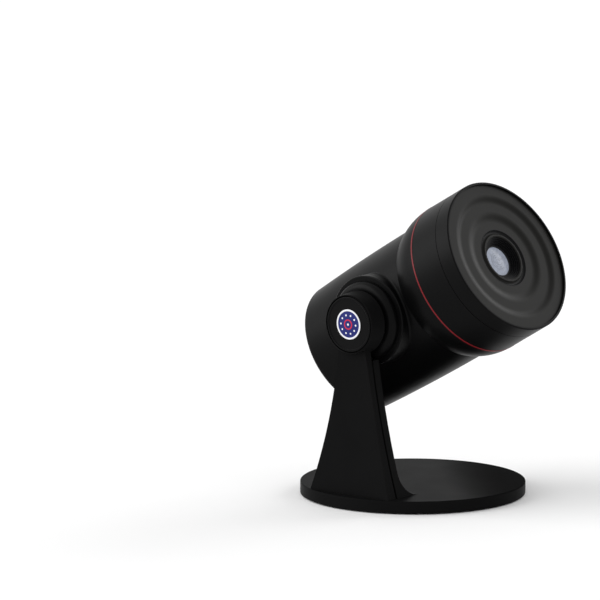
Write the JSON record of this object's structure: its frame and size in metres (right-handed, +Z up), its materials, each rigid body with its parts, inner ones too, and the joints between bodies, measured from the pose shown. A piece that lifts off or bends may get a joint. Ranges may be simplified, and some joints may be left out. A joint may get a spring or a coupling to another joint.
{
  "type": "planetarium projector",
  "caption": "Desk-top star projector: a tilting barrel with a turning focus front and a lift-off head, held on a single arm over a round weighted base.",
  "frame": {"origin": "centre of the foot pad's underside, on the surface that the projector stands on", "axes": "+Z up; the lens looks along -Y, raised by 30 degrees; the arm stands on the -X side, and the tilt axis lies along X"},
  "size_m": [0.115, 0.1374, 0.164],
  "materials": {
    "black_shell": "satin to gloss moulded black",
    "front_grey": "fine matt moulded dark grey",
    "red_trim": "gloss red",
    "badge_print": "printed badge, navy with white and red",
    "black_inner": "matt moulded black",
    "button_grey": "satin grey",
    "steel": "zinc plated",
    "cast_weight": "plain sheet steel",
    "pad_rubber": "matt",
    "white_nylon": "natural nylon",
    "bushing_brass": "turned",
    "circuit_board": "solder mask",
    "board_black": "moulded",
    "sink_aluminium": "extruded",
    "lens_glass": "polished",
    "emitter_lens": "clear resin",
    "film_frame": "matt",
    "film_print": "printed film between glass"
  },
  "bodies": {
    "stand": {"stand_frame": "black_shell", "arm_cover": "black_shell", "arm_screws": "steel", "base_weight": "cast_weight", "base_bottom_plate": "black_inner", "base_screws": "steel", "foot_pad": "pad_rubber", "pivot_cap": "black_shell", "pivot_badge": "badge_print", "pivot_bolt": "steel", "spring_washer": "steel", "friction_washer": "white_nylon", "flat_washer": "steel", "pivot_nut": "steel"},
    "barrel": {"barrel_shell": "black_shell", "pivot_bushing": "bushing_brass", "red_ring": "red_trim", "rear_cover": "black_shell", "rear_cover_screws": "steel", "control_board": "circuit_board", "board_screws": "steel", "board_parts": "board_black", "tact_switches": "black_inner", "usb_socket": "steel", "lamp_housing": "black_inner", "lamp_screws": "steel", "condenser_lens_front": "lens_glass", "condenser_lens_rear": "lens_glass", "condenser_rings": "black_inner", "heat_sink": "sink_aluminium", "light_board": "circuit_board", "light_emitter": "emitter_lens", "film_stage": "black_inner", "stage_screws": "steel", "motor_gearbox": "bushing_brass", "motor_can": "steel", "motor_screws": "steel"},
    "power_button": {"power_button": "button_grey"},
    "rotation_button": {"rotation_button": "button_grey"},
    "pinion": {"motor_shaft": "steel", "motor_pinion": "white_nylon"},
    "film_gear": {"film_gear": "white_nylon"},
    "film": {"film_holder": "film_frame", "film_picture": "film_print"},
    "head": {"head_sleeve": "black_shell", "head_seal": "pad_rubber", "lens_guide": "black_inner", "guide_screws": "steel", "focus_clip": "steel"},
    "focus_ring": {"front_bezel": "black_shell", "front_plate": "front_grey", "focus_cam": "black_inner", "cam_screws": "steel"},
    "lens_carriage": {"lens_tube": "black_inner", "cam_pins": "steel", "front_lens": "lens_glass", "middle_lens": "lens_glass", "rear_lens": "lens_glass", "lens_spacers": "black_inner", "lens_retainer": "black_inner"}
  },
  "joints": [
    {"name": "barrel_tilt", "type": "hinge", "parent": "stand", "child": "barrel", "pos_m": [-0.041, 0, 0.09465], "axis": [-1, 0, 0], "range_deg": [-55, 90]},
    {"name": "head_lift", "type": "slide", "parent": "barrel", "child": "head", "axis": [0, -0.8622, 0.5066], "range_m": [0, 0.03]},
    {"name": "focus_turn", "type": "hinge", "parent": "head", "child": "focus_ring", "pos_m": [0.003, -0.05173, 0.12505], "axis": [0, -0.8622, 0.5066], "range_deg": [0, 90]},
    {"name": "lens_travel", "type": "slide", "parent": "head", "child": "lens_carriage", "axis": [0, 0.8622, -0.5066], "range_m": [0, 0.005]},
    {"name": "film_spin", "type": "hinge", "parent": "barrel", "child": "film_gear", "pos_m": [0.003, -0.01233, 0.10189], "axis": [0, -0.8622, 0.5066], "continuous": true},
    {"name": "pinion_spin", "type": "hinge", "parent": "barrel", "child": "pinion", "pos_m": [0.003, -0.02611, 0.07844], "axis": [0, -0.8622, 0.5066], "continuous": true},
    {"name": "film_lift", "type": "slide", "parent": "film_gear", "child": "film", "axis": [0, -0.8622, 0.5066], "range_m": [0, 0.01]},
    {"name": "power_press", "type": "slide", "parent": "barrel", "child": "power_button", "axis": [0, -0.8622, 0.5066], "range_m": [0, 0.0005], "stiffness_N_per_m": 800},
    {"name": "rotation_press", "type": "slide", "parent": "barrel", "child": "rotation_button", "axis": [0, -0.8622, 0.5066], "range_m": [0, 0.0005], "stiffness_N_per_m": 800}
  ],
  "couplings": [
    {"joint": "lens_travel", "follows": "focus_turn", "m_per_rad": 0.0031831},
    {"joint": "pinion_spin", "follows": "film_spin", "ratio": -4.6667}
  ]
}
